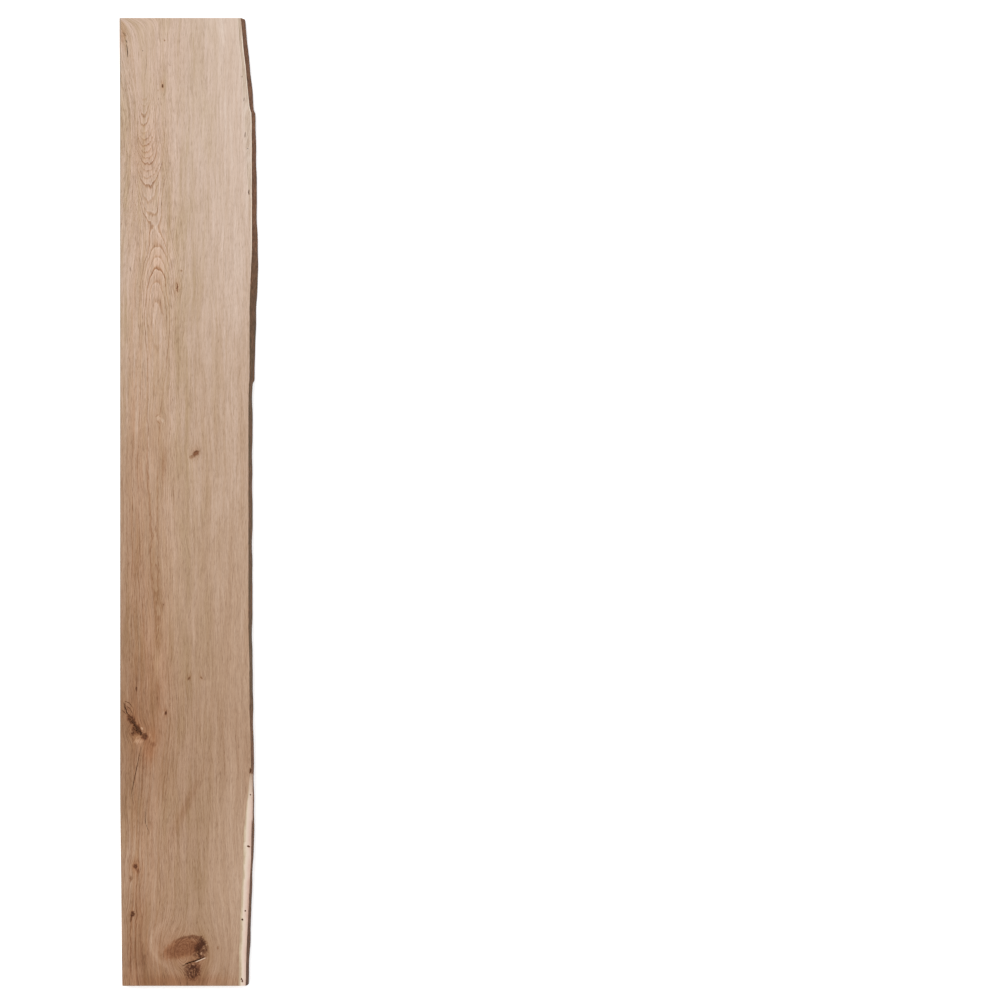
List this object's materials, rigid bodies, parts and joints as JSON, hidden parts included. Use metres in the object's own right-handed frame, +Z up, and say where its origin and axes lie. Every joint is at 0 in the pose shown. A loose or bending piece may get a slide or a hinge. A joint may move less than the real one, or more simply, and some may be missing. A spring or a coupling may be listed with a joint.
{
  "type": "live edge wood plank",
  "caption": "Raw oak plank, sawn straight along one side, with a wavy brown live edge along the other, knots and drying cracks.",
  "frame": {"origin": "centre of the plank's bounding box, on the surface that it lies on", "axes": "+Z up out of the upper face, +Y along the plank to its head end, +X across it to the live edge"},
  "size_m": [0.2858, 2, 0.026],
  "materials": {
    "oak": "raw planed oak, matte, with a brown live edge"
  },
  "bodies": {
    "root": {"plank": "oak"}
  },
  "joints": []
}
